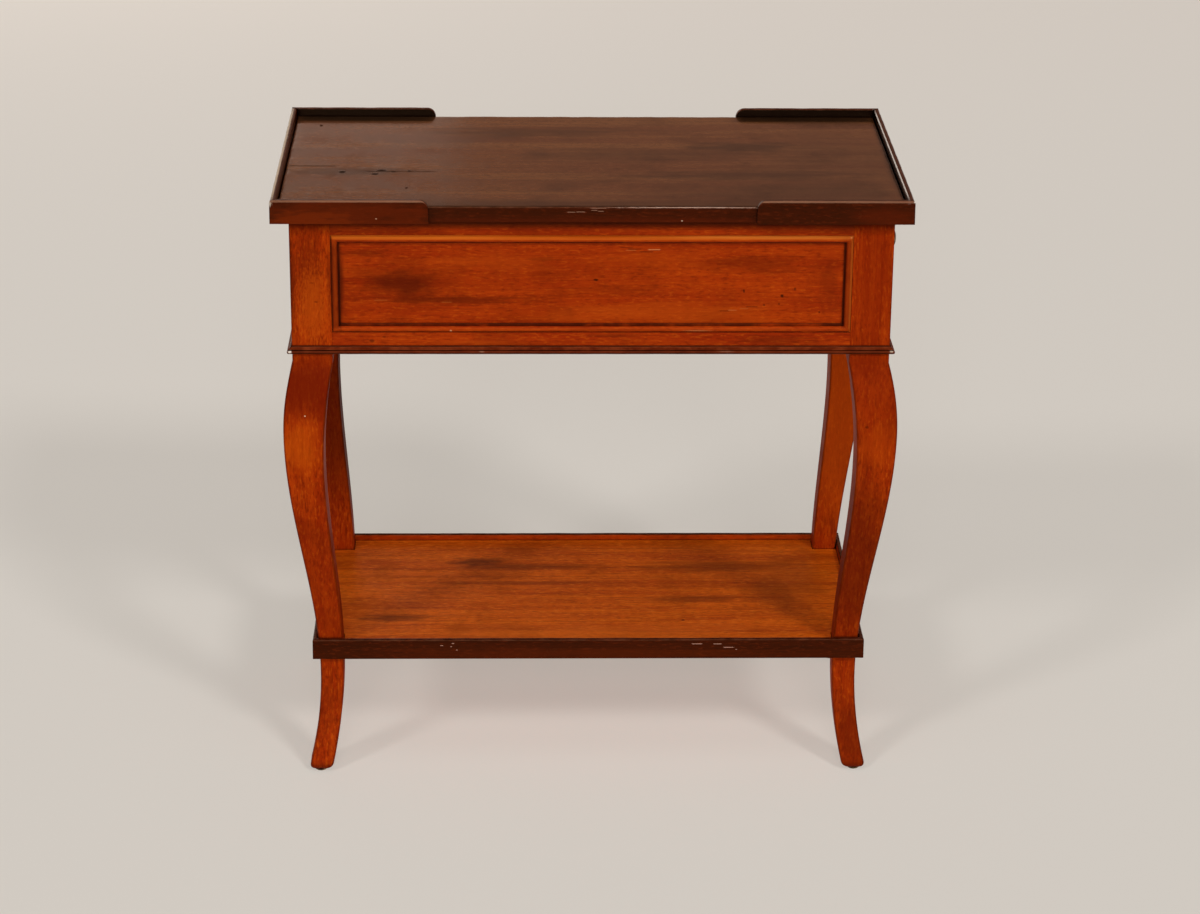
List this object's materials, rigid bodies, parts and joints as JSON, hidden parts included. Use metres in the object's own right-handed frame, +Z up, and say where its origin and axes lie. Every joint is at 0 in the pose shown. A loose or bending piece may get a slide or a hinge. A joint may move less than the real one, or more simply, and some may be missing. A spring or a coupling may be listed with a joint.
{
  "type": "side table",
  "caption": "Small rectangular side table: tray-edged top, panelled case with a drawer at one end, double-curved legs and a low tray shelf.",
  "frame": {"origin": "on the floor, below the middle of the table", "axes": "+X towards the drawer end, -Y towards the front that the picture shows, +Z up"},
  "size_m": [0.6613, 0.361, 0.66],
  "materials": {
    "fruitwood": "orange-red stain under a satin-gloss lacquer",
    "dark_wood": "dark walnut stain under a satin-gloss lacquer",
    "plain_hardwood": "planed and unfinished",
    "metal": "aged and darkened"
  },
  "bodies": {
    "table": {"leg_front_left": "fruitwood", "leg_front_right": "fruitwood", "leg_back_left": "fruitwood", "leg_back_right": "fruitwood", "front_top_rail": "fruitwood", "front_bottom_rail": "fruitwood", "back_top_rail": "fruitwood", "back_bottom_rail": "fruitwood", "left_top_rail": "fruitwood", "left_bottom_rail": "fruitwood", "right_top_rail": "fruitwood", "right_bottom_rail": "fruitwood", "front_panel": "fruitwood", "back_panel": "fruitwood", "left_panel": "fruitwood", "front_panel_moulding": "fruitwood", "back_panel_moulding": "fruitwood", "left_panel_moulding": "fruitwood", "base_moulding_front": "dark_wood", "base_moulding_back": "dark_wood", "base_moulding_left": "dark_wood", "base_moulding_right": "dark_wood", "top_board": "dark_wood", "gallery_left": "dark_wood", "gallery_right": "dark_wood", "gallery_front_left": "dark_wood", "gallery_front_right": "dark_wood", "gallery_back_left": "dark_wood", "gallery_back_right": "dark_wood", "shelf_board": "fruitwood", "shelf_strip_front": "dark_wood", "shelf_strip_back": "dark_wood", "shelf_strip_left": "dark_wood", "shelf_strip_right": "dark_wood", "shelf_dowel_front_left": "plain_hardwood", "shelf_dowel_front_right": "plain_hardwood", "shelf_dowel_back_left": "plain_hardwood", "shelf_dowel_back_right": "plain_hardwood", "glue_block_front_left": "plain_hardwood", "glue_block_front_right": "plain_hardwood", "glue_block_back_left": "plain_hardwood", "glue_block_back_right": "plain_hardwood", "drawer_runner_front": "plain_hardwood", "drawer_runner_back": "plain_hardwood", "drawer_kicker_front": "plain_hardwood", "drawer_kicker_back": "plain_hardwood", "drawer_stop_front": "plain_hardwood", "drawer_stop_back": "plain_hardwood", "glide_front_left": "metal", "glide_front_right": "metal", "glide_back_left": "metal", "glide_back_right": "metal"},
    "drawer": {"drawer_front": "fruitwood", "drawer_moulding": "fruitwood", "drawer_side_front": "plain_hardwood", "drawer_side_back": "plain_hardwood", "drawer_back": "plain_hardwood", "drawer_bottom": "plain_hardwood", "drawer_knob": "metal", "drawer_knob_screw": "metal"}
  },
  "joints": [
    {"name": "drawer_slide", "type": "slide", "parent": "table", "child": "drawer", "axis": [1, 0, 0], "range_m": [0, 0.4]}
  ]
}
